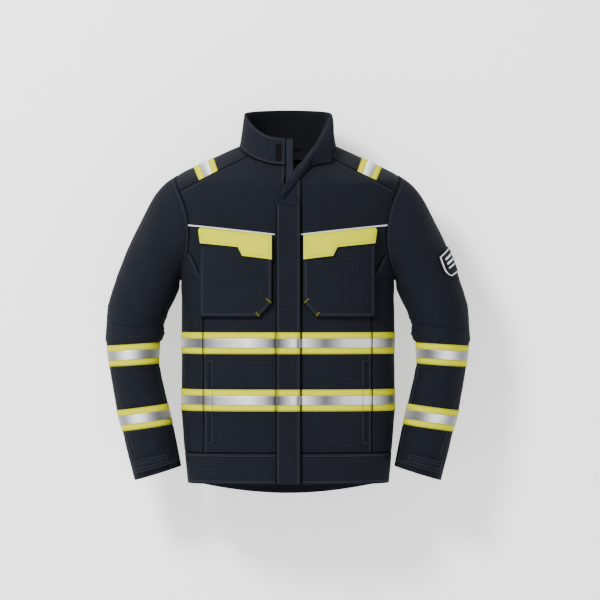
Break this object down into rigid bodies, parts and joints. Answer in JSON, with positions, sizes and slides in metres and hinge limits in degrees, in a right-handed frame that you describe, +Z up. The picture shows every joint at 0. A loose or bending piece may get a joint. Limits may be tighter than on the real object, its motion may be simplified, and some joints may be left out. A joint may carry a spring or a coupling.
{
  "type": "turnout coat",
  "caption": "Hip-length firefighter's turnout coat with a stand collar, reflective bands, chest pockets and jointed sleeves.",
  "frame": {"origin": "top of the hanging loop inside the back of the neck, where a hook holds the coat", "axes": "+Z up along the hanging coat, +X towards the wearer's left, the front faces -Y"},
  "size_m": [0.802, 0.2426, 0.8516],
  "materials": {
    "shell_cloth": "dark navy woven aramid with a ripstop grid",
    "lining_cloth": "quilted dark lining",
    "yellow_cloth": "fluorescent yellow woven fabric",
    "trim_tape": "silver retroreflective tape between fluorescent yellow borders",
    "white_piping": "white woven piping",
    "hook_fabric": "black hook-and-loop pile",
    "zip_brass": "dulled brass",
    "badge_cloth": "black woven badge with a merrowed edge"
  },
  "bodies": {
    "coat": {"back_panel": "shell_cloth", "body_liner": "lining_cloth", "body_trim_lower": "trim_tape", "body_trim_upper": "trim_tape", "chest_piping_left": "white_piping", "chest_piping_right": "white_piping", "chest_pocket_left": "shell_cloth", "chest_pocket_right": "shell_cloth", "collar_hook_patch": "hook_fabric", "collar_left": "shell_cloth", "collar_right": "shell_cloth", "front_panel_left": "shell_cloth", "front_panel_right": "shell_cloth", "front_yoke_left": "shell_cloth", "front_yoke_right": "shell_cloth", "hand_pocket_bag_left": "lining_cloth", "hand_pocket_bag_right": "lining_cloth", "hand_pocket_welt_left": "shell_cloth", "hand_pocket_welt_right": "shell_cloth", "hanger_loop": "shell_cloth", "hem_band_back": "shell_cloth", "hem_band_left": "shell_cloth", "hem_band_right": "shell_cloth", "neck_facing": "lining_cloth", "shoulder_trim_left": "trim_tape", "shoulder_trim_right": "trim_tape", "shoulder_yoke_left": "shell_cloth", "shoulder_yoke_right": "shell_cloth", "side_panel_left": "shell_cloth", "side_panel_right": "shell_cloth", "sleeve_head_left": "shell_cloth", "sleeve_head_right": "shell_cloth", "zip_stop_box": "zip_brass", "zip_tape_left": "zip_brass", "zip_tape_right": "zip_brass"},
    "upper_sleeve_right": {"sleeve_upper_right": "shell_cloth", "sleeve_liner_upper_right": "lining_cloth"},
    "forearm_right": {"sleeve_lower_right": "shell_cloth", "sleeve_liner_lower_right": "lining_cloth", "sleeve_trim_upper_right": "trim_tape", "sleeve_trim_lower_right": "trim_tape", "cuff_loop_patch_right": "hook_fabric"},
    "cuff_tab_right": {"cuff_tab_right": "shell_cloth"},
    "pocket_flap_right": {"pocket_flap_right": "yellow_cloth"},
    "upper_sleeve_left": {"sleeve_upper_left": "shell_cloth", "sleeve_liner_upper_left": "lining_cloth", "sleeve_badge": "badge_cloth"},
    "forearm_left": {"sleeve_lower_left": "shell_cloth", "sleeve_liner_lower_left": "lining_cloth", "sleeve_trim_upper_left": "trim_tape", "sleeve_trim_lower_left": "trim_tape", "cuff_loop_patch_left": "hook_fabric"},
    "cuff_tab_left": {"cuff_tab_left": "shell_cloth"},
    "pocket_flap_left": {"pocket_flap_left": "yellow_cloth"},
    "zip_slider": {"zip_slider": "zip_brass", "zip_pull": "zip_brass"},
    "storm_flap": {"storm_flap": "shell_cloth", "flap_trim_upper": "trim_tape", "flap_trim_lower": "trim_tape"},
    "collar_lapel": {"collar_lapel": "shell_cloth"}
  },
  "joints": [
    {"name": "shoulder_right", "type": "hinge", "parent": "coat", "child": "upper_sleeve_right", "pos_m": [-0.28343, -0.07307, -0.24426], "axis": [-0.8554, 0, -0.518], "range_deg": [-15, 120]},
    {"name": "elbow_right", "type": "hinge", "parent": "upper_sleeve_right", "child": "forearm_right", "pos_m": [-0.338, -0.13507, -0.425], "axis": [-1, 0, 0], "range_deg": [0, 90]},
    {"name": "cuff_tab_right", "type": "hinge", "parent": "forearm_right", "child": "cuff_tab_right", "pos_m": [-0.33707, -0.10595, -0.69598], "axis": [0.2398, 0.028, -0.9704], "range_deg": [0, 100]},
    {"name": "pocket_flap_right", "type": "hinge", "parent": "coat", "child": "pocket_flap_right", "pos_m": [-0.03519, -0.19658, -0.198], "axis": [-0.9824, 0.1558, 0.1034], "range_deg": [0, 100]},
    {"name": "shoulder_left", "type": "hinge", "parent": "coat", "child": "upper_sleeve_left", "pos_m": [0.28343, -0.07307, -0.24426], "axis": [-0.8554, 0, 0.518], "range_deg": [-15, 120]},
    {"name": "elbow_left", "type": "hinge", "parent": "upper_sleeve_left", "child": "forearm_left", "pos_m": [0.338, -0.13507, -0.425], "axis": [-1, 0, 0], "range_deg": [0, 90]},
    {"name": "cuff_tab_left", "type": "hinge", "parent": "forearm_left", "child": "cuff_tab_left", "pos_m": [0.33707, -0.10595, -0.69598], "axis": [0.2398, -0.028, 0.9704], "range_deg": [0, 100]},
    {"name": "pocket_flap_left", "type": "hinge", "parent": "coat", "child": "pocket_flap_left", "pos_m": [0.03519, -0.19658, -0.198], "axis": [-0.9824, -0.1558, -0.1034], "range_deg": [0, 100]},
    {"name": "zip_slide", "type": "slide", "parent": "coat", "child": "zip_slider", "axis": [0, 0, 1], "range_m": [-0.545, 0]},
    {"name": "storm_flap", "type": "hinge", "parent": "coat", "child": "storm_flap", "pos_m": [0.028, -0.19447, -0.739], "axis": [0, 0, 1], "range_deg": [0, 95]},
    {"name": "collar_lapel", "type": "hinge", "parent": "coat", "child": "collar_lapel", "pos_m": [-0.02032, -0.20702, -0.11415], "axis": [-0.532, -0.361, -0.7659], "range_deg": [0, 150]}
  ]
}
